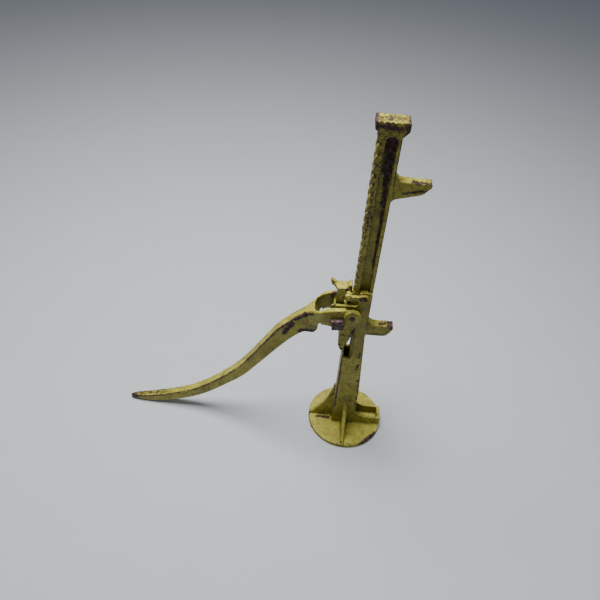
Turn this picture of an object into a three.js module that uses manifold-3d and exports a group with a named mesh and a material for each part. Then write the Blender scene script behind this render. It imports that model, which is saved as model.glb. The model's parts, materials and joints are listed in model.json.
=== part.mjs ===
// Lever-operated ratchet rack jack of cast iron and forged steel.
//
// Frame: the origin is the centre of the round foot on the ground, +Z points up, +X points to the side of
// the toe lugs, the hand lever reaches out to -X, and "front" is the -Y side. Sizes are in millimetres.
//
// The standard is a cast column with a round foot. The toothed rack bar slides up and down in it. The
// forked lever turns on the fulcrum bolt and lifts the stirrup (lifting dog and two side plates) that hangs
// from its two lift pins. The holding dog tilts on a pivot between the ears, and a keeper link on the front
// ties it to the column.

import * as THREE from 'three';
import { mergeVertices } from 'three/addons/utils/BufferGeometryUtils.js';
import Module from 'manifold-3d';

const wasm = await Module();
wasm.setup();

// ---------------------------------------------------------------- driving dimensions

const GAP = 0.4; // air between pieces that touch on the real jack
const ARC_STEPS = 7; // facets in each rounded corner
const SIDES = 24; // facets round a pin or hole

// Foot
const FOOT_RADIUS = 101.5;
const FOOT_THICK = 11;
const RIB_THICK = 9;
const RIB_TOP = 148; // height where a rib meets the column
const RIB_X = -5; // middle of the front and back ribs

// Toe box: the pocket on the foot that the lower toe sinks into
const BOX_END = 98;
const BOX_HALF = 21.5;
const BOX_TOP = 37;
const BOX_WALL = 4.5;
const BOX_END_WALL = 9;

// Column of the standard
const COLUMN_LEFT = -35.5;
const COLUMN_RIGHT = 24.5; // below the taper
const COLUMN_TOP = 508;
const CHEEK_OUT = 24.5;
const CHEEK_IN = 18;
const WEB_IN = -31.75; // inner face of the closed side
const WEB_TOP = 308;
const LIP_IN = 13.6; // inner face of the lips beside the toe slot
const TOE_SLOT_HALF = 13.5;
const MOUTH_BOTTOM = 283; // floor of the opening that the lifting dog reaches through
const MOUTH_RIGHT = -12;
const UPPER_RIGHT = 12.5; // above the taper
const TAPER_FROM = 150;
const TAPER_TO = 366;
const EAR_TOP = 464;
const EAR_LEFT = -78;
const EAR_BOTTOM = 401;
const CROSS_WEB_TOP = 446.5; // joins the ears under the holding dog
const CROSS_WEB_THICK = 8;
const RAIL_LEFT = -17;
const RAIL_RIGHT = 2.5;
const RAIL_FACE = 7.4; // distance of the guide rails from the middle plane
const RAIL_FROM = 60;
const RAIL_TO = 504;

// Rack bar
const TOOTH_TIP = -32.8;
const WORN_TOOTH_TIP = -31; // the lower teeth see the most use
const WORN_BELOW = 650;
const TOOTH_ROOT = -23.5;
const RACK_RIGHT = 12.5;
const RACK_HALF = 16;
const RACK_BOTTOM = 352;
const RACK_WEB_HALF = 6;
const RECESS_LEFT = -17.5;
const RECESS_RIGHT = 4.5;
const RECESS_TOP = 884;
const TOOTH_PITCH = 21.4;
const FIRST_NOTCH = 356.2; // lower face of the lowest tooth
const TOOTH_COUNT = 25;
const HEAD_LEFT = -40;
const HEAD_RIGHT = 23;
const HEAD_HALF = 17.5;
const HEAD_TOP = 913;
const HEAD_EDGE = 897; // underside of the square rim of the head
const HEAD_NECK = 884;
const TOE_HALF = 11.5;
const UPPER_TOE_TOP = 791;
const UPPER_TOE_END = 86;
const LOWER_TOE_TOP = 394;
const LOWER_TOE_END = 76.5;

// Lever
const FULCRUM = { x: -59, z: 420 };
const LIFT_PIN = { x: -26, z: 442 };
const FORK_OUT = 37.5;
const FORK_IN = 25.7;
const FORK_CROTCH = -114; // at the level of the arms' top
const CROTCH_LEAN = 0.13; // the crotch runs to the right on its way down, by this share of the height
const RELIEF_IN = 32; // the arms are thinner here, to clear the side plates
const RELIEF_FROM = -43;
const LIFT_BOSS_RADIUS = 21;
const LIFT_BOSS_OUT = 43.5;
const LIFT_PIN_RADIUS = 6;

// Stirrup
const PLATE_IN = 25.8;
const PLATE_OUT = 31.2;
const DOG_NOSE = -34.2;
const RIVET_X = -42;
const RIVET_HEIGHTS = { lower: 337, upper: 370 };
const RIVET_RADIUS = 4.5;

// Fulcrum bolt
const BOLT_RADIUS = 9;
const BOLT_HEAD_WIDTH = 27.5;
const BOLT_HEAD_THICK = 11;
const WASHER_RADIUS = 17;
const WASHER_THICK = 2.2;
const NUT_THICK = 13;
const BOLT_END = 61;
const SLEEVE_RADIUS = 13;
const COTTER_RADIUS = 1.6;

// Holding dog and keeper link
const DOG_PIVOT = { x: -60, z: 455.5 };
const DOG_PIVOT_RADIUS = 4;
const DOG_HEEL_RADIUS = 8;
const DOG_HALF = 11.5;
const DOG_TOP = 506.5;
const DOG_TIP = -34.2;
const CAP_HALF = 14;
const KEEPER_PIN = { x: -41.5, z: 497 };
const KEEPER_STUD = { x: -12, z: 497.5 };
const KEEPER_PIN_RADIUS = 5;
const KEEPER_PIN_END = 2; // the pin stops inside the dog
const KEEPER_STUD_RADIUS = 4;
const LINK_IN = 26;
const LINK_OUT = 34;
const LINK_BALL = 8.5;
const LINK_WAIST = 4.8;
const LINK_SLOT_TRAVEL = 6.9;

// ---------------------------------------------------------------- solids

// Closed solid of a three.js geometry.
function solidOf(geometry) {
  const bare = geometry.clone();
  bare.deleteAttribute('normal');
  bare.deleteAttribute('uv');
  const merged = mergeVertices(bare, 1e-4);
  const corners = merged.index.array;
  const triangles = [];
  for (let i = 0; i < corners.length; i += 3) {
    const [a, b, c] = [corners[i], corners[i + 1], corners[i + 2]];
    if (a !== b && b !== c && c !== a) {
      triangles.push(a, b, c);
    }
  }
  return new wasm.Manifold(new wasm.Mesh({
    numProp: 3,
    vertProperties: new Float32Array(merged.attributes.position.array),
    triVerts: new Uint32Array(triangles),
  }));
}

function join(...solids) {
  return solids.reduce((whole, solid) => whole.add(solid));
}

function cut(solid, ...tools) {
  return tools.reduce((left, tool) => left.subtract(tool), solid);
}

// Closed outline through corners [across, up, radius]; a corner with a radius is rounded by an arc.
function outline(corners) {
  const shape = new THREE.Shape();
  const at = (i) => new THREE.Vector2(...corners[(i + corners.length) % corners.length]);
  corners.forEach(([across, up, radius = 0], i) => {
    const here = at(i);
    const draw = i === 0 ? 'moveTo' : 'lineTo';
    if (radius === 0) {
      shape[draw](across, up);
      return;
    }
    const back = at(i - 1).sub(here).normalize();
    const ahead = at(i + 1).sub(here).normalize();
    const half = Math.acos(back.dot(ahead)) / 2;
    const reach = radius / Math.tan(half);
    const start = here.clone().addScaledVector(back, reach);
    const end = here.clone().addScaledVector(ahead, reach);
    const toCentre = back.clone().add(ahead).normalize();
    const centre = here.clone().addScaledVector(toCentre, radius / Math.sin(half));
    const from = Math.atan2(start.y - centre.y, start.x - centre.x);
    const to = Math.atan2(end.y - centre.y, end.x - centre.x);
    shape[draw](start.x, start.y);
    shape.absarc(centre.x, centre.y, radius, from, to, back.cross(ahead) > 0);
  });
  return shape;
}

// Solid between two Y planes, whose shape is drawn with X across and Z up.
function acrossY(shape, y0, y1) {
  const geometry = new THREE.ExtrudeGeometry(shape, {
    depth: y1 - y0, bevelEnabled: false, curveSegments: ARC_STEPS,
  });
  geometry.rotateX(Math.PI / 2);
  geometry.translate(0, y1, 0);
  return solidOf(geometry);
}

// The same solid on the front and on the back, between two distances from the middle plane.
function bothSides(shape, inner, outer) {
  return join(acrossY(shape, inner, outer), acrossY(shape, -outer, -inner));
}

// Solid between two X planes, whose shape is drawn with Y across and Z up.
function acrossX(shape, x0, x1) {
  const geometry = new THREE.ExtrudeGeometry(shape, {
    depth: x1 - x0, bevelEnabled: false, curveSegments: ARC_STEPS,
  });
  geometry.rotateX(Math.PI / 2);
  geometry.rotateZ(Math.PI / 2);
  geometry.translate(x0, 0, 0);
  return solidOf(geometry);
}

// Solid between two heights, whose shape is drawn with X across and Y up.
function upZ(shape, z0, z1) {
  const geometry = new THREE.ExtrudeGeometry(shape, {
    depth: z1 - z0, bevelEnabled: false, curveSegments: ARC_STEPS,
  });
  geometry.translate(0, 0, z0);
  return solidOf(geometry);
}

function block(x0, x1, y0, y1, z0, z1) {
  const geometry = new THREE.BoxGeometry(x1 - x0, y1 - y0, z1 - z0);
  geometry.translate((x0 + x1) / 2, (y0 + y1) / 2, (z0 + z1) / 2);
  return solidOf(geometry);
}

// Round rod along Y through a point of the XZ plane.
function rodY({ x, z }, radius, y0, y1, sides = SIDES) {
  const geometry = new THREE.CylinderGeometry(radius, radius, y1 - y0, sides);
  geometry.translate(x, (y0 + y1) / 2, z);
  return solidOf(geometry);
}

// Body of revolution about the Z axis; the profile runs up from axis to axis as [radius, height].
function turned(profile, sides) {
  const geometry = new THREE.LatheGeometry(profile.map(([r, z]) => new THREE.Vector2(r, z)), sides);
  geometry.rotateX(Math.PI / 2);
  return solidOf(geometry);
}

// Rounded button: a flattened half ball standing on a Y plane; side is -1 for front and 1 for back.
function button({ x, z }, radius, height, y, side) {
  const geometry = new THREE.SphereGeometry(radius, SIDES, 12);
  geometry.scale(1, height / radius, 1);
  geometry.translate(x, side * y, z);
  const reach = 2 * radius;
  const keep = side < 0
    ? block(x - reach, x + reach, -y - reach, -y, z - reach, z + reach)
    : block(x - reach, x + reach, y, y + reach, z - reach, z + reach);
  return solidOf(geometry).intersect(keep);
}

// ---------------------------------------------------------------- materials

const PAINT = 0xb9b23c;
const WORN_PAINT = 0xa8994a;
const RUST = 0x5d4038;
const BARE_STEEL = 0x6e625c;

function material(color, roughness, metalness) {
  return new THREE.MeshStandardMaterial({ color, roughness, metalness });
}

const painted = () => material(PAINT, 0.62, 0.1);
const wornPaint = () => material(WORN_PAINT, 0.7, 0.2);
const rusty = () => material(RUST, 0.85, 0.4);
const steel = () => material(BARE_STEEL, 0.6, 0.7);

const jack = new THREE.Group();

function addPart(name, solid, finish) {
  const { vertProperties, triVerts } = solid.getMesh();
  const geometry = new THREE.BufferGeometry();
  geometry.setAttribute('position', new THREE.BufferAttribute(vertProperties, 3));
  geometry.setIndex(new THREE.BufferAttribute(triVerts, 1));
  geometry.computeVertexNormals();
  const mesh = new THREE.Mesh(geometry, finish());
  mesh.name = name;
  jack.add(mesh);
}

// ---------------------------------------------------------------- standard

function foot() {
  const edge = 3;
  return turned([
    [0, 0], [FOOT_RADIUS - 1, 0], [FOOT_RADIUS, 1], [FOOT_RADIUS, FOOT_THICK - edge],
    [FOOT_RADIUS - 1, FOOT_THICK - 1], [FOOT_RADIUS - edge, FOOT_THICK], [0, FOOT_THICK],
  ], 80);
}

// Rib outline from a column face to the rim of the foot, with a hollow back.
function ribOutline(face, sign) {
  const shape = new THREE.Shape();
  const root = face - sign * 3;
  const rim = sign * (FOOT_RADIUS - 4);
  const low = FOOT_THICK - 3;
  shape.moveTo(root, low);
  shape.lineTo(root, RIB_TOP);
  shape.lineTo(face + sign * 3, RIB_TOP - 0.5);
  shape.lineTo(face + sign * 5.5, RIB_TOP - 4);
  shape.quadraticCurveTo(face + sign * 13, RIB_TOP * 0.5, rim, FOOT_THICK + 3);
  shape.lineTo(rim, low);
  return shape;
}

function ribs() {
  const half = RIB_THICK / 2;
  const left = acrossY(ribOutline(COLUMN_LEFT, -1), -half, half);
  const front = acrossX(ribOutline(-CHEEK_OUT, -1), RIB_X - half, RIB_X + half);
  const back = acrossX(ribOutline(CHEEK_OUT, 1), RIB_X - half, RIB_X + half);
  return join(left, front, back);
}

function toeBox() {
  const shell = upZ(outline([
    [COLUMN_RIGHT - 6, -BOX_HALF],
    [BOX_END, -BOX_HALF, 4],
    [BOX_END, BOX_HALF, 4],
    [COLUMN_RIGHT - 6, BOX_HALF],
  ]), FOOT_THICK - 3, BOX_TOP);
  const sweep = new THREE.Shape();
  sweep.moveTo(COLUMN_RIGHT - 3, BOX_TOP - 2);
  sweep.lineTo(COLUMN_RIGHT - 3, BOX_TOP + 38);
  sweep.quadraticCurveTo(COLUMN_RIGHT + 4, BOX_TOP + 3, COLUMN_RIGHT + 32, BOX_TOP - 0.5);
  sweep.lineTo(COLUMN_RIGHT + 32, BOX_TOP - 2);
  return join(shell, bothSides(sweep, BOX_HALF - BOX_WALL, BOX_HALF));
}

function standard() {
  const side = outline([
    [COLUMN_LEFT, 5],
    [COLUMN_RIGHT, 5],
    [COLUMN_RIGHT, TAPER_FROM],
    [UPPER_RIGHT, TAPER_TO],
    [UPPER_RIGHT, COLUMN_TOP, 9],
    [-18, COLUMN_TOP, 11],
    [-18, EAR_TOP, 5],
    [EAR_LEFT, EAR_TOP, 9],
    [EAR_LEFT, EAR_BOTTOM, 18],
    [-40, EAR_BOTTOM, 12],
    [MOUTH_RIGHT, 384, 12],
    [MOUTH_RIGHT, MOUTH_BOTTOM, 8.5],
    [WEB_IN, MOUTH_BOTTOM, 8.5],
    [WEB_IN, WEB_TOP, 1],
    [COLUMN_LEFT, WEB_TOP, 1],
  ]);
  const inside = FOOT_THICK;
  const above = COLUMN_TOP + 10;
  const boxIn = BOX_HALF - BOX_WALL;
  const hollow = join(
    block(WEB_IN, LIP_IN, -CHEEK_IN, CHEEK_IN, inside, above),
    block(EAR_LEFT - 10, LIP_IN, -CHEEK_IN, CHEEK_IN, WEB_TOP + 8, above),
    block(LIP_IN - 2, COLUMN_RIGHT + 5, -TOE_SLOT_HALF, TOE_SLOT_HALF, inside, above),
    block(COLUMN_RIGHT - 0.5, BOX_END - BOX_END_WALL, -boxIn, boxIn, inside, above),
  );
  const rail = outline([
    [RAIL_LEFT, RAIL_FROM, 3], [RAIL_RIGHT, RAIL_FROM, 3],
    [RAIL_RIGHT, RAIL_TO, 3], [RAIL_LEFT, RAIL_TO, 3],
  ]);
  const rails = bothSides(rail, RAIL_FACE, CHEEK_IN + 1);
  const webFrom = CROSS_WEB_TOP - CROSS_WEB_THICK;
  const crossWeb = block(-71, -40, -CHEEK_IN - 1, CHEEK_IN + 1, webFrom, CROSS_WEB_TOP);
  const casting = join(cut(join(acrossY(side, -CHEEK_OUT, CHEEK_OUT), foot(), toeBox()), hollow), ribs());
  const holes = [
    rodY(FULCRUM, BOLT_RADIUS + GAP, -CHEEK_OUT - 5, CHEEK_OUT + 5),
    rodY(DOG_PIVOT, DOG_PIVOT_RADIUS + GAP, -CHEEK_OUT - 5, CHEEK_OUT + 5),
    rodY(KEEPER_STUD, KEEPER_STUD_RADIUS + GAP, -CHEEK_OUT - 5, 0),
  ];
  return cut(join(casting, rails, crossWeb), ...holes);
}

addPart('standard', standard(), painted);

// ---------------------------------------------------------------- rack bar

// Toothed outline of the bar. Each tooth has a near-level lower face and a full, rounded back.
function rackOutline() {
  const points = [[TOOTH_ROOT - 1, RACK_BOTTOM]];
  for (let tooth = 0; tooth < TOOTH_COUNT; tooth += 1) {
    const z = FIRST_NOTCH + tooth * TOOTH_PITCH;
    const tip = z < WORN_BELOW ? WORN_TOOTH_TIP : TOOTH_TIP;
    points.push([TOOTH_ROOT, z], [tip + 1.4, z + 1.2], [tip, z + 5], [tip + 0.4, z + 11]);
    points.push([tip + 2, z + 16], [TOOTH_ROOT - 1.2, z + 20]);
  }
  points.push([TOOTH_ROOT, HEAD_EDGE], [RACK_RIGHT, HEAD_EDGE], [RACK_RIGHT, RACK_BOTTOM]);
  return outline(points);
}

// Lug on the right face of the bar: flat top, rising underside, rounded tip and a fillet above and below.
function toe({ top, end, root, depth, rise, tip, under, over }) {
  const inside = RACK_RIGHT - 6;
  const face = RACK_RIGHT - 0.1;
  return acrossY(outline([
    [inside, root],
    [face, root],
    [face, top - depth, under],
    [end - tip, top - depth + rise, 20],
    [end, top - 7, 6],
    [end, top, 2.5],
    [face, top, over],
    [face, top + 30],
    [inside, top + 30],
  ]), -TOE_HALF, TOE_HALF);
}

// V-grooves across a level top; turn is the angle of the grooves from the Y axis.
function grooves({ from, to, count, top, width, depth, turn = 0 }) {
  const vee = new THREE.Shape();
  vee.moveTo(-width / 2, 0.5);
  vee.lineTo(0, -depth);
  vee.lineTo(width / 2, 0.5);
  return Array.from({ length: count }, (_, i) => {
    const geometry = new THREE.ExtrudeGeometry(vee, { depth: 60, bevelEnabled: false });
    geometry.rotateX(Math.PI / 2);
    geometry.translate(0, 30, 0);
    geometry.rotateZ(turn);
    geometry.translate(from + ((to - from) * i) / (count - 1), 0, top);
    return solidOf(geometry);
  });
}

function rackBar() {
  const bar = acrossY(rackOutline(), -RACK_HALF, RACK_HALF);
  const recess = bothSides(outline([
    [RECESS_LEFT, RACK_BOTTOM - 5], [RECESS_RIGHT, RACK_BOTTOM - 5],
    [RECESS_RIGHT, RECESS_TOP, 10], [RECESS_LEFT, RECESS_TOP, 10],
  ]), RACK_WEB_HALF, RACK_HALF + 2);
  const head = acrossY(outline([
    [TOOTH_ROOT, HEAD_NECK],
    [RACK_RIGHT, HEAD_NECK, 4],
    [HEAD_RIGHT - 3, HEAD_EDGE - 4],
    [HEAD_RIGHT, HEAD_EDGE, 3],
    [HEAD_RIGHT, HEAD_TOP, 2],
    [HEAD_LEFT, HEAD_TOP, 2],
    [HEAD_LEFT, HEAD_EDGE, 3],
    [HEAD_LEFT + 6, HEAD_EDGE - 4],
  ]), -HEAD_HALF, HEAD_HALF);
  const upperToe = toe({
    top: UPPER_TOE_TOP, end: UPPER_TOE_END, root: 728, depth: 42, rise: 18, tip: 14, under: 14, over: 20,
  });
  const lowerToe = toe({
    top: LOWER_TOE_TOP, end: LOWER_TOE_END, root: RACK_BOTTOM + 1,
    depth: 33, rise: 1, tip: 13, under: 4, over: 22,
  });
  const whole = join(cut(bar, recess), head, upperToe, lowerToe);
  return cut(
    whole,
    ...grooves({ from: -28.5, to: 11.5, count: 5, top: HEAD_TOP, width: 4.4, depth: 2.2, turn: -0.38 }),
    ...grooves({ from: 50, to: 78, count: 4, top: UPPER_TOE_TOP, width: 3.6, depth: 1.8 }),
    ...grooves({ from: 46, to: 68, count: 4, top: LOWER_TOE_TOP, width: 3.4, depth: 1.7 }),
  );
}

addPart('rack_bar', rackBar(), painted);

// ---------------------------------------------------------------- lever

// Sections along the lever: [x, top, bottom, half width at the top, half width at the bottom].
// The S-shaped bar rests its tip on the ground, thickens towards the neck, hangs a lobe under it
// and spreads into the fork.
const LEVER_SECTIONS = [
  [-614, 10.5, 7.5, 2.5, 2.5],
  [-606, 14, 4, 7, 6],
  [-588, 18.5, 2, 9.5, 8.5],
  [-558, 25, 1.5, 11, 10.5],
  [-514, 38, 9.5, 12, 11.5],
  [-470, 55, 24, 12, 11.5],
  [-425, 78, 44, 12.5, 12],
  [-380, 112, 74, 13, 12.5],
  [-330, 159, 118, 13.5, 13],
  [-286, 212, 160, 14, 13.5],
  [-238, 290, 226, 14, 14],
  [-200, 352, 280, 13.5, 14],
  [-165, 391, 325, 13.5, 13.5],
  [-138, 416, 351, 13.5, 14],
  [-124, 428, 354.5, 18, 15.5],
  [-113, 436.5, 356, 25.5, 17],
  [-105, 441, 367, 31, 19],
  [-98, 446, 390, 34.5, 24],
  [-89, 451, 401, 36.5, 33],
  [-76, 455.5, 403.5, FORK_OUT, FORK_OUT],
  [-60, 458, 400.5, FORK_OUT, FORK_OUT],
  [-44, 460.5, 408, FORK_OUT, FORK_OUT],
  [LIFT_PIN.x, LIFT_PIN.z + LIFT_BOSS_RADIUS, LIFT_PIN.z - LIFT_BOSS_RADIUS, FORK_OUT, FORK_OUT],
];
const STEPS_BETWEEN = 3; // extra smoothness between two sections

// The sections with others on a smooth curve between them.
function smoothed(sections) {
  const curves = [1, 2, 3, 4].map((k) => (
    new THREE.SplineCurve(sections.map((section) => new THREE.Vector2(section[0], section[k])))
  ));
  const count = (sections.length - 1) * STEPS_BETWEEN;
  return Array.from({ length: count + 1 }, (_, i) => {
    const points = curves.map((curve) => curve.getPoint(i / count));
    const [top, bottom, wide, narrow] = points.map((point) => point.y);
    return [points[0].x, top, bottom, Math.min(wide, FORK_OUT), Math.min(narrow, FORK_OUT)];
  });
}

// Solid through eight-sided sections in planes of constant X.
function loft(sections) {
  const corners = sections.flatMap(([x, top, bottom, wide, narrow]) => {
    const chamfer = Math.min(3, wide * 0.4, (top - bottom) * 0.3);
    return [
      [x, chamfer - narrow, bottom], [x, narrow - chamfer, bottom], [x, narrow, bottom + chamfer],
      [x, wide, top - chamfer], [x, wide - chamfer, top], [x, chamfer - wide, top],
      [x, -wide, top - chamfer], [x, -narrow, bottom + chamfer],
    ];
  });
  const sides = 8;
  const faces = [];
  for (let i = 0; i < sections.length - 1; i += 1) {
    for (let k = 0; k < sides; k += 1) {
      const a = i * sides + k;
      const b = i * sides + ((k + 1) % sides);
      faces.push(a, b, b + sides, a, b + sides, a + sides);
    }
  }
  const last = (sections.length - 1) * sides;
  for (let k = 1; k < sides - 1; k += 1) {
    faces.push(0, k + 1, k, last, last + k, last + k + 1);
  }
  const geometry = new THREE.BufferGeometry();
  geometry.setAttribute('position', new THREE.Float32BufferAttribute(corners.flat(), 3));
  geometry.setIndex(faces);
  return solidOf(geometry);
}

// Space between the arms of the fork, with its closed end leaning.
function forkGap() {
  const [low, high] = [340, 480];
  const geometry = new THREE.ExtrudeGeometry(outline([
    [FORK_CROTCH, -FORK_IN, 15], [20, -FORK_IN], [20, FORK_IN], [FORK_CROTCH, FORK_IN, 15],
  ]), { depth: high - low, bevelEnabled: false, curveSegments: ARC_STEPS });
  const lean = new THREE.Matrix4().makeShear(0, 0, 0, 0, -CROTCH_LEAN, 0);
  geometry.translate(0, 0, low - FULCRUM.z - 20);
  geometry.applyMatrix4(lean);
  geometry.translate(0, 0, FULCRUM.z + 20);
  return solidOf(geometry);
}

function lever() {
  const bar = join(
    loft(smoothed(LEVER_SECTIONS)),
    rodY(LIFT_PIN, LIFT_BOSS_RADIUS, -FORK_OUT, FORK_OUT, 40),
  );
  const relief = block(RELIEF_FROM, 5, -RELIEF_IN, RELIEF_IN, 340, 480);
  const bosses = [-1, 1].map((side) => rodY(
    LIFT_PIN,
    LIFT_BOSS_RADIUS - 1,
    side < 0 ? -LIFT_BOSS_OUT : FORK_OUT - 1,
    side < 0 ? 1 - FORK_OUT : LIFT_BOSS_OUT,
    40,
  ));
  const reach = LIFT_BOSS_OUT + 5;
  return cut(
    join(cut(bar, forkGap(), relief), ...bosses),
    rodY(FULCRUM, BOLT_RADIUS + GAP, -reach, reach),
    rodY(LIFT_PIN, LIFT_PIN_RADIUS + GAP, -reach, reach),
  );
}

addPart('lever', lever(), painted);

// ---------------------------------------------------------------- fulcrum bolt set

function fulcrumBolt() {
  const headFrom = -FORK_OUT - GAP - BOLT_HEAD_THICK;
  const head = new THREE.BoxGeometry(BOLT_HEAD_WIDTH, BOLT_HEAD_THICK, BOLT_HEAD_WIDTH);
  head.rotateY(-0.12);
  head.translate(FULCRUM.x, headFrom + BOLT_HEAD_THICK / 2, FULCRUM.z);
  const cotterHole = new THREE.CylinderGeometry(COTTER_RADIUS + GAP, COTTER_RADIUS + GAP, 30, 12);
  cotterHole.rotateX(Math.PI / 2);
  cotterHole.translate(FULCRUM.x, BOLT_END - 3.5, FULCRUM.z);
  return cut(join(solidOf(head), rodY(FULCRUM, BOLT_RADIUS, headFrom + 2, BOLT_END)), solidOf(cotterHole));
}

function fulcrumNut() {
  const from = FORK_OUT + GAP + WASHER_THICK + GAP;
  const body = new THREE.BoxGeometry(BOLT_HEAD_WIDTH, NUT_THICK, BOLT_HEAD_WIDTH);
  body.rotateY(0.3);
  body.translate(FULCRUM.x, from + NUT_THICK / 2, FULCRUM.z);
  return cut(solidOf(body), rodY(FULCRUM, BOLT_RADIUS + GAP, from - 1, from + NUT_THICK + 1));
}

// Ring round a line along Y.
function ring(centre, outer, inner, y0, y1) {
  return cut(rodY(centre, outer, y0, y1, 36), rodY(centre, inner, y0 - 1, y1 + 1));
}

function fulcrumWasher() {
  const from = FORK_OUT + GAP;
  return ring(FULCRUM, WASHER_RADIUS, BOLT_RADIUS + GAP, from, from + WASHER_THICK);
}

// Spacer round the bolt between the cheeks.
function fulcrumSleeve() {
  return ring(FULCRUM, SLEEVE_RADIUS, BOLT_RADIUS + GAP, GAP - CHEEK_IN, CHEEK_IN - GAP);
}

// Split pin: a straight shank through the bolt with a round eye on top.
function cotter() {
  const y = BOLT_END - 3.5;
  const shank = new THREE.CylinderGeometry(COTTER_RADIUS, COTTER_RADIUS, 30, 12);
  shank.rotateX(Math.PI / 2);
  shank.translate(FULCRUM.x, y, FULCRUM.z - 1);
  const eye = new THREE.TorusGeometry(3.4, COTTER_RADIUS - 0.2, 10, 20);
  eye.rotateX(Math.PI / 2);
  eye.translate(FULCRUM.x, y, FULCRUM.z + 16.5);
  return join(solidOf(shank), solidOf(eye));
}

addPart('fulcrum_bolt', fulcrumBolt(), rusty);
addPart('fulcrum_nut', fulcrumNut(), rusty);
addPart('fulcrum_washer', fulcrumWasher(), steel);
addPart('fulcrum_sleeve', fulcrumSleeve(), steel);
addPart('fulcrum_cotter', cotter(), steel);

// ---------------------------------------------------------------- lifting stirrup

function liftingDog() {
  const body = acrossY(outline([
    [-50, 387, 5], [-50, 338, 6], [-43, 320, 4], [-37, 320, 2.5], [-37, 335, 4], [DOG_NOSE, 345, 2],
    [DOG_NOSE, 376.8, 1], [-39, 378.5, 3], [-40, 387, 3],
  ]), GAP - PLATE_IN, PLATE_IN - GAP);
  const holes = Object.values(RIVET_HEIGHTS).map((z) => (
    rodY({ x: RIVET_X, z }, RIVET_RADIUS + GAP, -PLATE_IN - 5, PLATE_IN + 5)
  ));
  return cut(body, ...holes);
}

// Side plate from the lift pin down to the dog, on the front (-1) or the back (1).
function sidePlate(side) {
  const plate = outline([
    [-40, 457, 13], [-40, 402, 5], [-50, 388, 8], [-50, 338, 6], [-43, 320, 4], [-37, 320, 4],
    [-24, 362, 30], [-11, 414, 30], [-11, 457, 13],
  ]);
  const [y0, y1] = side < 0 ? [-PLATE_OUT, -PLATE_IN] : [PLATE_IN, PLATE_OUT];
  const holes = Object.values(RIVET_HEIGHTS).map((z) => (
    rodY({ x: RIVET_X, z }, RIVET_RADIUS + GAP, y0 - 1, y1 + 1)
  ));
  return cut(acrossY(plate, y0, y1), rodY(LIFT_PIN, LIFT_PIN_RADIUS + GAP, y0 - 1, y1 + 1), ...holes);
}

function rivet(z) {
  const centre = { x: RIVET_X, z };
  return join(
    rodY(centre, RIVET_RADIUS, -PLATE_OUT - 1, PLATE_OUT + 1),
    button(centre, RIVET_RADIUS + 1.5, 1.8, PLATE_OUT + GAP, -1),
    button(centre, RIVET_RADIUS + 1.5, 1.8, PLATE_OUT + GAP, 1),
  );
}

// Pin pressed into an arm of the fork, whose inner end carries the side plate.
function liftPin(side) {
  const inner = CHEEK_OUT + 0.8;
  const outer = LIFT_BOSS_OUT;
  return join(
    rodY(LIFT_PIN, LIFT_PIN_RADIUS, side < 0 ? -outer : inner, side < 0 ? -inner : outer),
    button(LIFT_PIN, LIFT_PIN_RADIUS, 1.5, outer, side),
  );
}

addPart('lifting_dog', liftingDog(), painted);
addPart('lifting_dog_rivet_lower', rivet(RIVET_HEIGHTS.lower), wornPaint);
addPart('lifting_dog_rivet_upper', rivet(RIVET_HEIGHTS.upper), wornPaint);

// ---------------------------------------------------------------- holding dog

function holdingDog() {
  const body = acrossY(outline([
    [-67, 460, 3], [-49, 462, 3], [-49, 482, 6], [-38, 487, 5], [DOG_TIP, 496, 3], [DOG_TIP, 515, 3],
    [-41, 515, 5], [-45, DOG_TOP], [-66, DOG_TOP],
  ]), -DOG_HALF, DOG_HALF);
  const neck = acrossY(outline([
    [-68, DOG_PIVOT.z], [-52, DOG_PIVOT.z], [-49, 466], [-67, 466],
  ]), -DOG_HALF, DOG_HALF);
  const heel = rodY(DOG_PIVOT, DOG_HEEL_RADIUS, -DOG_HALF, DOG_HALF, 32);
  const cap = upZ(outline([
    [-66, -CAP_HALF, 4], [-42, -CAP_HALF, 5], [DOG_TIP - 1, -8, 3], [DOG_TIP - 1, 8, 3], [-42, CAP_HALF, 5],
    [-81, CAP_HALF, 5],
  ]), DOG_TOP - 8, DOG_TOP);
  const horn = acrossY(outline([
    [-80, DOG_TOP - 6],
    [-66, DOG_TOP - 6],
    [-72, DOG_TOP + 3, 6],
    [-81, DOG_TOP + 9, 2],
    [-84, DOG_TOP + 7, 2],
  ]), 3, CAP_HALF - 0.5);
  return cut(
    join(body, neck, heel, cap, horn),
    rodY(KEEPER_PIN, KEEPER_PIN_RADIUS + GAP, -30, KEEPER_PIN_END + GAP),
    rodY(DOG_PIVOT, DOG_PIVOT_RADIUS + GAP, -30, 30),
  );
}

// Pin across the ears that the dog tilts on.
function dogPivot() {
  return rodY(DOG_PIVOT, DOG_PIVOT_RADIUS, GAP / 2 - CHEEK_OUT, CHEEK_OUT - GAP / 2);
}

// Stub pin in the front of the dog, with a domed end that holds the keeper link.
function keeperPin() {
  return join(
    rodY(KEEPER_PIN, KEEPER_PIN_RADIUS, -LINK_OUT - 1, KEEPER_PIN_END),
    button(KEEPER_PIN, LINK_BALL - 2, 2.5, LINK_OUT + GAP, -1),
  );
}

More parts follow.
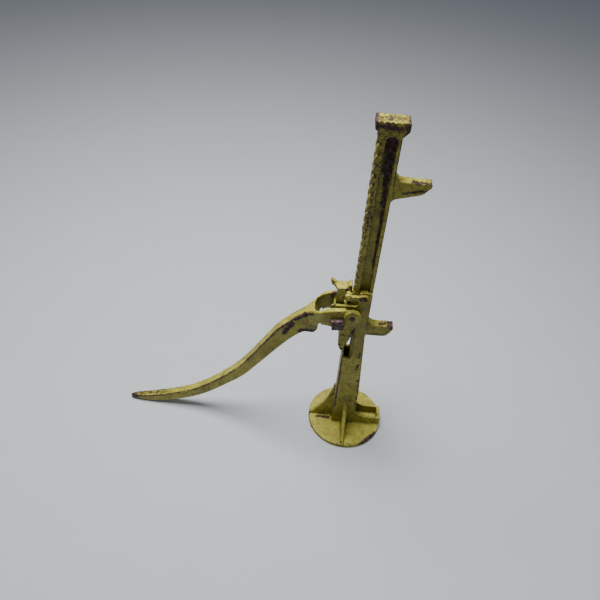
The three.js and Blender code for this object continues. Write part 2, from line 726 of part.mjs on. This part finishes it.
// Bone-shaped link: a round end on the dog's pin, a narrow waist and a slotted eye round the stud.
function keeperLink() {
  const [y0, y1] = [-LINK_OUT, -LINK_IN];
  const slotEnd = { x: KEEPER_STUD.x + LINK_SLOT_TRAVEL, z: KEEPER_STUD.z };
  const slotHalf = KEEPER_STUD_RADIUS + 0.7;
  const waist = outline([
    [KEEPER_PIN.x, KEEPER_PIN.z - LINK_WAIST], [slotEnd.x, slotEnd.z - LINK_WAIST],
    [slotEnd.x, slotEnd.z + LINK_WAIST], [KEEPER_PIN.x, KEEPER_PIN.z + LINK_WAIST],
  ]);
  const link = join(
    rodY(KEEPER_PIN, LINK_BALL, y0, y1, 32),
    acrossY(waist, y0, y1),
    rodY(slotEnd, LINK_BALL, y0, y1, 32),
    rodY({ x: slotEnd.x - 5, z: slotEnd.z }, LINK_BALL - 0.5, y0, y1, 32),
  );
  return cut(
    link,
    rodY(KEEPER_PIN, KEEPER_PIN_RADIUS + GAP, y0 - 1, y1 + 1),
    rodY(KEEPER_STUD, slotHalf, y0 - 1, y1 + 1),
    rodY(slotEnd, slotHalf, y0 - 1, y1 + 1),
    block(KEEPER_STUD.x, slotEnd.x, y0 - 1, y1 + 1, slotEnd.z - slotHalf, slotEnd.z + slotHalf),
  );
}

// Stud in the front cheek of the standard, with a collar behind the link and a small peened end.
function keeperStud() {
  return join(
    rodY(KEEPER_STUD, KEEPER_STUD_RADIUS, -LINK_OUT - 1.5, -CHEEK_IN - 0.3),
    rodY(KEEPER_STUD, KEEPER_STUD_RADIUS + 2.5, 0.5 - LINK_IN, -CHEEK_OUT - 0.4),
    button(KEEPER_STUD, KEEPER_STUD_RADIUS + 1.2, 2, LINK_OUT + GAP, -1),
  );
}

addPart('holding_dog', holdingDog(), painted);
addPart('holding_dog_pivot', dogPivot(), rusty);
addPart('keeper_pin', keeperPin(), wornPaint);
addPart('keeper_link', keeperLink(), wornPaint);
addPart('keeper_stud', keeperStud(), rusty);

// ---------------------------------------------------------------- pieces with one on each side

for (const [place, side] of [['front', -1], ['back', 1]]) {
  addPart(`strap_${place}`, sidePlate(side), painted);
  addPart(`lift_pin_${place}`, liftPin(side), rusty);
}

export default jack;
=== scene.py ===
"""Ratchet rack jack in old yellow paint that has chipped down to dark rust, on a pale studio floor.

Each CAD node is replaced by a casting grown over it: the node's surface is remeshed finely, its edges
are worn round and its skin is given the lumps and grain of sand-cast iron. How sharp each spot is, how
deep it lies and how hard it was used are kept on the mesh, and the paint chips by them; deep spots are
also darkened as dirt and painted shade, and some use lines paint the shade in the rack's recess. Lengths in
the tables are in millimetres.
"""
import json
import math

import bpy
import numpy as np
from mathutils import Matrix, Vector


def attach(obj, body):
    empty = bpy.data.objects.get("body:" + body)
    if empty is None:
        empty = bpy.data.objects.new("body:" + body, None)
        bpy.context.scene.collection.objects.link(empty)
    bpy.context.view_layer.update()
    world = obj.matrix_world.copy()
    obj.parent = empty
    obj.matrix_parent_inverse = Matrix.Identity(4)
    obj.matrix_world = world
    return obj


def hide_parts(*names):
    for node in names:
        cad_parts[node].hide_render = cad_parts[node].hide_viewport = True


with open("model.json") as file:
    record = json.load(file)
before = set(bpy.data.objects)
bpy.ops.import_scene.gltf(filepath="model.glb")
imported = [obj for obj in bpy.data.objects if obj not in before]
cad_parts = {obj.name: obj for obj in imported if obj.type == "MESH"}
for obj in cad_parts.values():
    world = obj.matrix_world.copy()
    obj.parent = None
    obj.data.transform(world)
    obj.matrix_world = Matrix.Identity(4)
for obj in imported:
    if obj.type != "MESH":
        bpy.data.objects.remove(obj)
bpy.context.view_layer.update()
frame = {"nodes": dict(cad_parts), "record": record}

MM = 0.001
scene = bpy.context.scene

# ------------------------------------------------------------------ tables

# Wear and painted shade by node: (two or more points of a line, reach, strength). The paint is thinner near
# the line; the rack's recess lines stand for painted shade as well as grime.
WEAR_AND_SHADE = {
    "standard": [
        ((55, -84, 11), (88, -52, 11), 11, 0.9),
        ((-10, -101, 8), (55, -86, 8), 7, 0.75),
        ((-90, -46, 8), (-10, -101, 8), 5, 0.6),
        ((-100, -8, 12), (-90, 8, 12), 10, 0.8),
        ((-80, 60, 8), (-20, 99, 8), (60, 80, 8), 6, 0.6),
        ((-78, -14, 12), (-46, -16, 12), 8, 0.95),
        ((-5, -97, 14), (-5, -60, 30), (-5, -38, 70), (-5, -31, 140), 7, 0.5),
        ((-35, -24, 75), (-35, -24, 290), 7, 0.85),
        ((20, -24, 90), (20, -24, 250), 5, 0.5),
        ((8, -25, 292), (8, -25, 306), 7, 0.95),
        ((6, -25, 244), (8, -25, 262), 7, 0.9),
        ((14, -25, 196), (20, -25, 206), 6, 0.8),
        ((-30, -24, 283), (-12, -24, 283), 4, 0.4),
        ((-24, 0, 300), (-24, 0, 322), 15, 1.0),
        ((-78, 20, 452), (-70, 22, 466), 17, 1.0),
        ((-78, -24, 455), (-70, -24, 466), 9, 0.7),
        ((12, -24, 400), (12, -24, 480), 5, 0.5),
        ((-35, 0, 309), (-35, 0, 309), 12, 0.9),
        ((45, 0, 12), (85, 0, 12), 10, 0.4),
        ((28, -20, 60), (60, -20, 38), 5, 0.6),
        ((-20, -24, 20), (20, -24, 14), 9, 0.4),
    ],
    "rack_bar": [
        ((-40, -8, 904), (-40, 8, 904), 24, 1.1),
        ((23, -8, 904), (23, 8, 904), 22, 1.1),
        ((-36, -18, 903), (18, -18, 903), 13, 0.85),
        ((-36, 0, 914), (19, 0, 914), 22, 0.55),
        # Painted shade with grime: the recess floor below the head, and the groove by the right flange, are
        # worn to dark rust where the head and flange cast shadow.
        ((-4, -6, 810), (-5, -6, 880), 19, 1.3),
        ((-4, 6, 810), (-5, 6, 880), 19, 1.3),
        ((-1, -6, 730), (-3, -6, 800), 13, 1.0),
        ((3, -6, 570), (1, -6, 740), 6, 1.0),
        ((-24, -16, 640), (-24, -16, 890), 11, 0.5),
        ((-33, 0, 650), (-33, 0, 900), 22, 0.72),
        ((-33, 0, 500), (-33, 0, 650), 22, 0.8),
        ((50, -6, 791), (86, -6, 789), 9, 0.8),
        ((78, 0, 764), (87, 0, 785), 16, 1.0),
        ((34, -11, 768), (76, -11, 776), 7, 0.7),
        ((66, -6, 394), (77, -6, 390), 11, 1.1),
        ((66, 6, 394), (77, 6, 390), 11, 1.1),
        ((46, 0, 394), (66, 0, 394), 12, 0.7),
        ((20, -11, 366), (66, -11, 366), 6, 0.6),
        ((12, -15, 800), (12, -15, 880), 4, 0.6),
        ((12, -15, 540), (12, -15, 730), 3, 0.5),
    ],
    "lever": [
        ((-618, 0, 9), (-596, 0, 10), 16, 1.0),
        ((-596, 0, 4), (-560, 0, 2), 10, 0.8),
        (
            (-606, -6, 14), (-588, -9, 18), (-558, -11, 25), (-514, -12, 38), (-470, -12, 55),
            (-425, -12, 78), 6, 0.9,
        ),
        ((-606, 5, 14), (-558, 9, 25), (-514, 10, 38), (-470, 10, 55), 6, 0.75),
        ((-596, 0, 17), (-558, 0, 25), (-500, 0, 44), 14, 0.55),
        ((-425, -12, 78), (-380, -13, 112), (-330, -13, 159), (-286, -14, 212), 6, 0.85),
        ((-286, -14, 212), (-238, -14, 290), (-200, -13, 352), (-165, -13, 391), 6, 0.95),
        (
            (-425, 12, 78), (-380, 13, 112), (-330, 13, 159), (-286, 13, 212), (-238, 14, 290),
            (-200, 13, 352), 5, 0.8,
        ),
        ((-606, -6, 5), (-558, -10, 1), (-514, -11, 9), (-470, -11, 24), (-425, -12, 44), 4, 0.6),
        ((-180, -14, 350), (-164, -14, 378), 13, 1.2),
        ((-186, -14, 340), (-176, -14, 345), 7, 0.85),
        ((-157, -14, 396), (-133, -15, 414), 12, 1.3),
        ((-133, -14, 414), (-118, -22, 424), 8, 0.9),
        ((-138, -14, 354), (-108, -17, 360), 19, 1.5),
        ((-172, 12, 384), (-140, 13, 416), 7, 0.8),
        ((-26, -44, 441), (-24, -44, 438), 7, 0.8),
        ((-60, -38, 455), (-40, -38, 459), 4, 0.45),
        ((-112, 34, 430), (-90, 38, 446), 6, 0.5),
    ],
    "holding_dog": [
        ((-36, -10, 507), (-33, 10, 507), 9, 1.0),
        ((-46, -14, 506), (-36, -11, 498), 7, 0.9),
        ((-84, 8, 514), (-80, 8, 503), 5, 1.0),
        ((-78, 2, 506), (-66, -13, 500), 4, 0.95),
        ((-52, -12, 478), (-44, -12, 486), 8, 0.6),
    ],
    "lifting_dog": [((-50, -24, 322), (-50, 24, 350), 13, 0.75)],
    "strap_front": [
        ((-50, -29, 338), (-38, -29, 320), 9, 0.95),
        ((-26, -31, 372), (-16, -31, 400), 6, 0.8),
        ((-34, -31, 330), (-30, -31, 345), 6, 0.7),
    ],
    "keeper_link": [
        ((-2, -32, 489), (3, -32, 496), 5, 0.8),
        ((-20, -33, 500), (-5, -33, 503), 3, 0.6),
    ],
}

# Skin by node: voxel, rounds of smoothing, depth of the lumps, depth of the grain. Depths and voxels in mm.
SKIN = {
    "standard": (1.35, 5, 0.55, 0.16),
    "rack_bar": (1.0, 3, 0.5, 0.18),
    "lever": (1.2, 6, 0.7, 0.16),
    "lifting_dog": (0.9, 5, 0.3, 0.12),
    "strap_front": (0.75, 5, 0.25, 0.1),
    "strap_back": (0.75, 5, 0.25, 0.1),
    "holding_dog": (0.8, 5, 0.35, 0.12),
    "keeper_link": (0.6, 6, 0.25, 0.08),
    "keeper_pin": (0.6, 3, 0.1, 0.06),
    "fulcrum_bolt": (0.7, 4, 0.25, 0.1),
    "fulcrum_nut": (0.6, 4, 0.2, 0.08),
    "fulcrum_washer": (0.45, 2, 0.06, 0.04),
    "fulcrum_sleeve": (0.7, 2, 0.06, 0.04),
    "fulcrum_cotter": (0.35, 2, 0.04, 0.02),
    "lift_pin_front": (0.5, 3, 0.12, 0.06),
    "lift_pin_back": (0.5, 3, 0.12, 0.06),
    "lifting_dog_rivet_lower": (0.5, 3, 0.12, 0.06),
    "lifting_dog_rivet_upper": (0.5, 3, 0.12, 0.06),
    "keeper_stud": (0.5, 3, 0.1, 0.05),
    "holding_dog_pivot": (0.5, 3, 0.1, 0.05),
}

# Edges and corners are found from the curve of the skin: close by, and averaged over a wider patch.
NEAR_ROUNDS = 2
WIDE_ROUNDS = 10
NEAR_GAIN = 1.6
WIDE_GAIN = 3.0

# Paint patterns: scale per metre, detail, roughness, distortion, and where the noise starts and is full.
PATTERN = {
    "blotch": (45, 4, 0.6, 0.4, 0.32, 0.68),
    "ragged": (150, 6, 0.7, 0.4, 0.34, 0.66),
    "fine": (480, 5, 0.7, 0.0, 0.34, 0.66),
    "tone": (24, 6, 0.62, 0.6, 0.38, 0.62),
    "stain": (85, 6, 0.7, 0.5, 0.47, 0.68),
    "freckle": (300, 5, 0.7, 0.0, 0.56, 0.66),
    "scabs": (130, 5, 0.62, 0.0, 0.40, 0.62),
    "flecks": (420, 4, 0.6, 0.0, 0.56, 0.68),
    "speckle": (9, 3, 0.5, 0.0, 0.3, 0.7),
}

# How much each cause drives the paint off, and the drive at which it thins and at which it is gone.
CHIP_BY_EDGE = 0.36
CHIP_BY_WEAR = 0.62
CHIP_BY_BLOTCH = 0.20
CHIP_BY_RAGGED = 0.34
CHIP_BY_FINE = 0.20
THIN_FROM, THIN_TO = 0.52, 0.78
GONE_FROM, GONE_TO = 0.74, 0.80

FLOOR_HALF = 9.0
FLOOR_DROP = 0.0003
FLOOR_COLOUR = (0.60, 0.62, 0.66)
FLOOR_ROUGHNESS = 0.9
FLOOR_SPECKLE = 0.985


# ------------------------------------------------------------------ castings

def clouds(name, size, depth):
    """A noise texture whose lumps are about size mm across."""
    texture = bpy.data.textures.new(name, "CLOUDS")
    texture.noise_scale = size * MM
    texture.noise_depth = depth
    return texture


LUMPS = clouds("lumps", 11.0, 2)
GRAIN = clouds("grain", 2.6, 3)


def displace(piece, texture, depth):
    """Moves the skin in and out by up to half of depth mm."""
    modifier = piece.modifiers.new(texture.name, "DISPLACE")
    modifier.texture = texture
    modifier.texture_coords = "LOCAL"
    modifier.mid_level = 0.5
    modifier.strength = depth * MM


def settle(piece):
    """Writes the modifiers' result into the piece's own mesh."""
    graph = bpy.context.evaluated_depsgraph_get()
    mesh = bpy.data.meshes.new_from_object(piece.evaluated_get(graph))
    piece.modifiers.clear()
    piece.data = mesh


def arrays(mesh):
    """Vertex places, vertex normals and edges of a mesh."""
    count = len(mesh.vertices)
    places = np.empty(count * 3, np.float32)
    normals = np.empty(count * 3, np.float32)
    edges = np.empty(len(mesh.edges) * 2, np.int32)
    mesh.vertices.foreach_get("co", places)
    mesh.vertices.foreach_get("normal", normals)
    mesh.edges.foreach_get("vertices", edges)
    return places.reshape(-1, 3), normals.reshape(-1, 3), edges.reshape(-1, 2)


def spread(values, edges, rounds):
    """Averages each vertex with its neighbours, so many times."""
    count = len(values)
    links = np.bincount(edges.ravel(), minlength=count)
    for _ in range(rounds):
        total = np.bincount(edges[:, 0], values[edges[:, 1]], count)
        total += np.bincount(edges[:, 1], values[edges[:, 0]], count)
        values = 0.5 * values + 0.5 * total / np.maximum(links, 1)
    return values


def bend(places, normals, edges):
    """How far the surface curves at each vertex, per mm: above 0 on an edge, below 0 in a corner."""
    count = len(places)
    links = np.maximum(np.bincount(edges.ravel(), minlength=count), 1)
    step = (places[edges[:, 1]] - places[edges[:, 0]]) / MM
    square = np.maximum((step ** 2).sum(1), 1e-9)
    first = -(step * normals[edges[:, 0]]).sum(1) / square
    second = (step * normals[edges[:, 1]]).sum(1) / square
    total = np.bincount(edges[:, 0], first, count) + np.bincount(edges[:, 1], second, count)
    return total / links


def capsule(places, start, end, reach):
    """1 on the line from start to end, falling to 0 at reach mm from it."""
    points = places / MM
    a, b = np.array(start, float), np.array(end, float)
    along = b - a
    t = np.clip(((points - a) @ along) / max(along @ along, 1e-9), 0, 1)
    gap = np.linalg.norm(points - (a + t[:, None] * along), axis=1)
    near = np.clip(1 - gap / reach, 0, 1)
    return near * near * (3 - 2 * near)


def store(mesh, name, values):
    """Keeps one value for each vertex under a name that the materials read."""
    attribute = mesh.attributes.new(name, "FLOAT", "POINT")
    attribute.data.foreach_set("value", values.astype(np.float32))


def cast(node, body, material):
    """Puts the finished casting in the place of a CAD node."""
    voxel, rounds, lumps, grain = SKIN[node]
    piece = bpy.data.objects.new("cast_" + node, frame["nodes"][node].data.copy())
    scene.collection.objects.link(piece)
    remesh = piece.modifiers.new("remesh", "REMESH")
    remesh.mode = "VOXEL"
    remesh.voxel_size = voxel * MM
    smooth = piece.modifiers.new("smooth", "SMOOTH")
    smooth.factor = 0.5
    smooth.iterations = rounds
    displace(piece, LUMPS, lumps)
    displace(piece, GRAIN, grain)
    settle(piece)
    mesh = piece.data
    places, normals, edges = arrays(mesh)
    if node == "standard":
        places[:, 2] = np.maximum(places[:, 2], 0)
        mesh.vertices.foreach_set("co", places.ravel())
    near = spread(bend(places, normals, edges), edges, NEAR_ROUNDS)
    wide = spread(near, edges, WIDE_ROUNDS)
    # The wear lines also carry the painted shade in the rack's recess under its head.
    wear = np.zeros(len(places))
    for *line, reach, strength in WEAR_AND_SHADE.get(node, []):
        for start, end in zip(line, line[1:]):
            wear = np.maximum(wear, strength * capsule(places, start, end, reach))
    store(mesh, "edge", np.clip(near * NEAR_GAIN + wide * WIDE_GAIN, 0, 1))
    store(mesh, "corner", np.clip(-near * NEAR_GAIN - wide * WIDE_GAIN, 0, 1))
    store(mesh, "wear", wear)
    mesh.materials.clear()
    mesh.materials.append(material)
    mesh.polygons.foreach_set("use_smooth", np.ones(len(mesh.polygons), bool))
    mesh.update()
    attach(piece, body)
    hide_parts(node)


# ------------------------------------------------------------------ materials

class Tree:
    """The nodes of one material, made by short calls."""

    def __init__(self, name):
        self.material = bpy.data.materials.new(name)
        self.material.use_nodes = True
        self.nodes = self.material.node_tree.nodes
        self.links = self.material.node_tree.links
        self.shader = self.nodes["Principled BSDF"]
        where = self.nodes.new("ShaderNodeTexCoord")
        self.place = where.outputs["Object"]
        self.normal = where.outputs["Normal"]

    def put(self, socket, value):
        """Links a socket to another, or sets its value."""
        if isinstance(value, bpy.types.NodeSocket):
            self.links.new(value, socket)
        else:
            socket.default_value = value

    def noise(self, scale, detail, rough, distort=0.0):
        node = self.nodes.new("ShaderNodeTexNoise")
        self.links.new(self.place, node.inputs["Vector"])
        node.inputs["Scale"].default_value = scale
        node.inputs["Detail"].default_value = detail
        node.inputs["Roughness"].default_value = rough
        node.inputs["Distortion"].default_value = distort
        return node.outputs["Fac"]

    def pattern(self, name):
        """A noise from the table, 0 to 1."""
        *noise, low, high = PATTERN[name]
        return self.span(self.noise(*noise), low, high)

    def held(self, name):
        """A value kept on the mesh."""
        node = self.nodes.new("ShaderNodeAttribute")
        node.attribute_name = name
        return node.outputs["Fac"]

    def upward(self):
        """How far the surface faces up in the piece's own frame: 1 on level tops, 0 on upright sides."""
        node = self.nodes.new("ShaderNodeSeparateXYZ")
        self.links.new(self.normal, node.inputs[0])
        return self.span(node.outputs["Z"], 0.15, 0.8)

    def math(self, operation, a, b, c=0.0):
        node = self.nodes.new("ShaderNodeMath")
        node.operation = operation
        for socket, value in zip(node.inputs, (a, b, c)):
            self.put(socket, value)
        return node.outputs["Value"]

    def total(self, *terms):
        """Sum of socket times weight."""
        whole = 0.0
        for value, weight in terms:
            whole = self.math("MULTIPLY_ADD", value, weight, whole)
        return whole

    def span(self, value, low, high, out_low=0.0, out_high=1.0):
        """A smooth step from out_low, at low, to out_high, at high."""
        node = self.nodes.new("ShaderNodeMapRange")
        node.interpolation_type = "SMOOTHSTEP"
        self.put(node.inputs["Value"], value)
        self.put(node.inputs["From Min"], low)
        self.put(node.inputs["From Max"], high)
        self.put(node.inputs["To Min"], out_low)
        self.put(node.inputs["To Max"], out_high)
        return node.outputs["Result"]

    def mix(self, amount, a, b):
        node = self.nodes.new("ShaderNodeMix")
        node.data_type = "RGBA"
        self.put(node.inputs[0], amount)
        for socket, value in ((node.inputs[6], a), (node.inputs[7], b)):
            self.put(socket, value if isinstance(value, bpy.types.NodeSocket) else (*value, 1.0))
        return node.outputs[2]

    def bump(self, height, distance, strength, below=None):
        """Relief of distance mm, laid over the relief below it."""
        node = self.nodes.new("ShaderNodeBump")
        node.inputs["Distance"].default_value = distance * MM
        node.inputs["Strength"].default_value = strength
        self.links.new(height, node.inputs["Height"])
        if below:
            self.links.new(below, node.inputs["Normal"])
        return node.outputs["Normal"]


# LIGHT_YELLOW is the paint as lit on level tops and DEEP_YELLOW the paint as shaded on upright sides.
# old_paint mixes them partly by how far a face points up, which is painted top light, and partly by a
# random tone.
LIGHT_YELLOW = (0.53, 0.48, 0.070)
DEEP_YELLOW = (0.215, 0.185, 0.010)
OLIVE = (0.080, 0.070, 0.007)
# Dark grime colour, used for dirt freckles and for the dirt and painted shade in concave corners.
GRIME_AND_SHADE = (0.030, 0.025, 0.009)
DARK_RUST = (0.020, 0.011, 0.009)
PURPLE_RUST = (0.095, 0.052, 0.050)
ORANGE_RUST = (0.20, 0.070, 0.028)


def rust_colour(tree):
    """Dark rust with lighter purple-brown scabs and orange flecks."""
    colour = tree.mix(tree.pattern("scabs"), DARK_RUST, PURPLE_RUST)
    return tree.mix(tree.math("MULTIPLY", tree.pattern("flecks"), 0.7), colour, ORANGE_RUST)


def old_paint(name, bare=0.0, worn=1.0):
    """Yellow paint over cast iron.

    bare moves the whole piece towards rust, and worn scales the wear of its edges.
    """
    tree = Tree(name)
    ragged = tree.pattern("ragged")
    # The wear value includes painted shade in the rack's recess; the corner value below adds dirt and
    # painted shade.
    chip_drive = tree.total(
        (tree.held("edge"), CHIP_BY_EDGE * worn),
        (tree.held("wear"), CHIP_BY_WEAR),
        (tree.pattern("blotch"), CHIP_BY_BLOTCH),
        (ragged, CHIP_BY_RAGGED),
        (tree.pattern("fine"), CHIP_BY_FINE),
    )
    chipped = tree.span(chip_drive, GONE_FROM - bare, GONE_TO - bare)
    thinned = tree.span(chip_drive, THIN_FROM - bare, THIN_TO - bare)
    # Painted light: tops are painted lighter and upright sides darker by how far they face up, mixed with a
    # cloudy random tone.
    tone_and_painted_toplight = tree.total((tree.pattern("tone"), 0.42), (tree.upward(), 0.58))
    paint = tree.mix(tone_and_painted_toplight, DEEP_YELLOW, LIGHT_YELLOW)
    paint = tree.mix(tree.math("MULTIPLY", tree.pattern("stain"), 0.6), paint, OLIVE)
    paint = tree.mix(tree.math("MULTIPLY", thinned, 0.6), paint, OLIVE)
    paint = tree.mix(tree.math("MULTIPLY", tree.pattern("freckle"), 0.8), paint, GRIME_AND_SHADE)
    # Dirt and painted shade: concave corners are darkened towards the dark grime colour.
    corner_dirt_and_shade = tree.span(tree.total((tree.held("corner"), 1.0), (ragged, 0.4)), 0.25, 0.95)
    paint = tree.mix(tree.math("MULTIPLY", corner_dirt_and_shade, 0.85), paint, GRIME_AND_SHADE)
    tree.put(tree.shader.inputs["Base Color"], tree.mix(chipped, paint, rust_colour(tree)))
    painted_roughness = tree.span(ragged, 0.0, 1.0, 0.42, 0.66)
    bare_roughness = tree.math("MULTIPLY", chipped, 0.88)
    tree.put(tree.shader.inputs["Roughness"], tree.math("MAXIMUM", painted_roughness, bare_roughness))
    tree.shader.inputs["Specular IOR Level"].default_value = 0.4
    skin = tree.total((tree.noise(900, 3, 0.6), 0.25), (ragged, 0.2), (chipped, -0.55))
    pits = tree.math("MULTIPLY", chipped, tree.noise(1100, 3, 0.7))
    normal = tree.bump(skin, 0.5, 0.55)
    tree.put(tree.shader.inputs["Normal"], tree.bump(pits, 0.4, 0.5, normal))
    return tree.material


def bare_metal(name, colour_low, colour_high, rust=0.5, metallic=0.5):
    """Bare iron or steel, part rusted."""
    tree = Tree(name)
    cloud = tree.noise(160, 6, 0.65, 0.3)
    fine = tree.noise(700, 4, 0.65)
    rusted = tree.span(tree.total((cloud, 1.0), (fine, 0.3)), 0.95 - rust, 1.12 - rust)
    metal = tree.mix(tree.span(fine, 0.35, 0.65), colour_low, colour_high)
    tree.put(tree.shader.inputs["Base Color"], tree.mix(rusted, metal, rust_colour(tree)))
    tree.shader.inputs["Metallic"].default_value = metallic
    tree.put(tree.shader.inputs["Roughness"], tree.span(rusted, 0, 1, 0.5, 0.88))
    tree.put(tree.shader.inputs["Normal"], tree.bump(tree.total((fine, 0.6), (cloud, 0.6)), 0.5, 0.6))
    return tree.material


PAINT = {
    "standard": old_paint("paint_standard", bare=0.02),
    "rack_bar": old_paint("paint_rack", bare=0.03, worn=1.1),
    "lever": old_paint("paint_lever", bare=0.04, worn=1.2),
    "dog": old_paint("paint_dog", bare=0.04, worn=1.3),
    "link": old_paint("paint_link", bare=0.01, worn=0.9),
}
RUSTED = bare_metal("rusted_iron", (0.09, 0.055, 0.05), (0.19, 0.12, 0.12), rust=0.42, metallic=0.25)
STEEL = bare_metal("dull_steel", (0.20, 0.18, 0.17), (0.34, 0.31, 0.29), rust=0.30, metallic=0.7)

MATERIAL = {
    "standard": PAINT["standard"],
    "rack_bar": PAINT["rack_bar"],
    "lever": PAINT["lever"],
    "lifting_dog": PAINT["dog"],
    "holding_dog": PAINT["dog"],
    "strap_front": PAINT["dog"],
    "strap_back": PAINT["dog"],
    "keeper_link": PAINT["link"],
    "keeper_pin": PAINT["link"],
    "lifting_dog_rivet_lower": PAINT["link"],
    "lifting_dog_rivet_upper": PAINT["link"],
    "fulcrum_washer": STEEL,
    "fulcrum_sleeve": STEEL,
    "fulcrum_cotter": STEEL,
}

bodies = frame["record"]["behaviour"]["bodies"]
body_of = {node: body for body, nodes in bodies.items() for node in nodes}
for node in SKIN:
    cast(node, body_of[node], MATERIAL.get(node, RUSTED))


# ------------------------------------------------------------------ floor, light and camera

def plain(name, colour, roughness):
    """A nearly even colour for the floor."""
    tree = Tree(name)
    darker = [channel * FLOOR_SPECKLE for channel in colour]
    tree.put(tree.shader.inputs["Base Color"], tree.mix(tree.pattern("speckle"), darker, colour))
    tree.shader.inputs["Roughness"].default_value = roughness
    return tree.material


def add_floor():
    """A square floor, set a hair below the foot."""
    half = FLOOR_HALF
    corners = [(-half, -half, 0), (half, -half, 0), (half, half, 0), (-half, half, 0)]
    mesh = bpy.data.meshes.new("floor")
    mesh.from_pydata(corners, [], [(0, 1, 2, 3)])
    mesh.materials.append(plain("floor", FLOOR_COLOUR, FLOOR_ROUGHNESS))
    floor = bpy.data.objects.new("floor", mesh)
    floor.location.z = -FLOOR_DROP
    scene.collection.objects.link(floor)


def add_area(name, place, target, size, power, colour):
    """A round lamp that faces its target."""
    light = bpy.data.lights.new(name, "AREA")
    light.shape = "DISK"
    light.size = size
    light.energy = power
    light.color = colour
    lamp = bpy.data.objects.new(name, light)
    lamp.location = place
    lamp.rotation_euler = (Vector(target) - Vector(place)).to_track_quat("-Z", "Y").to_euler()
    scene.collection.objects.link(lamp)


def add_world(colour, strength):
    world = bpy.data.worlds.new("studio")
    world.use_nodes = True
    background = world.node_tree.nodes["Background"]
    background.inputs["Color"].default_value = (*colour, 1)
    background.inputs["Strength"].default_value = strength
    scene.world = world


def add_camera(place, yaw, pitch, roll, lens):
    """A camera that looks along +Y turned by yaw towards +X, down by pitch, and rolled, in degrees."""
    yaw, pitch, roll = (math.radians(angle) for angle in (yaw, pitch, roll))
    ahead = Vector((
        math.sin(yaw) * math.cos(pitch),
        math.cos(yaw) * math.cos(pitch),
        -math.sin(pitch),
    ))
    level = Vector((math.cos(yaw), -math.sin(yaw), 0))
    upward = level.cross(ahead)
    right = math.cos(roll) * level + math.sin(roll) * upward
    top = math.cos(roll) * upward - math.sin(roll) * level
    data = bpy.data.cameras.new("camera")
    data.lens = lens
    data.sensor_width = 36
    camera = bpy.data.objects.new("camera", data)
    turn = Matrix((right, top, -ahead)).transposed().to_4x4()
    camera.matrix_world = Matrix.Translation(place) @ turn
    scene.collection.objects.link(camera)
    scene.camera = camera


add_floor()
add_area(
    "overhead",
    place=(-0.5, 0.25, 2.6), target=(-0.1, 0, 0.3), size=1.3, power=92, colour=(1.0, 0.99, 0.96),
)
add_area(
    "right_fill",
    place=(2.0, -0.9, 1.5), target=(0, 0, 0.5), size=1.2, power=4, colour=(0.95, 0.97, 1.0),
)
add_world(colour=(0.80, 0.88, 1.0), strength=0.15)
add_camera(place=(-0.1257, -0.9688, 1.3786), yaw=-1.45, pitch=43.89, roll=4.33, lens=34.506)
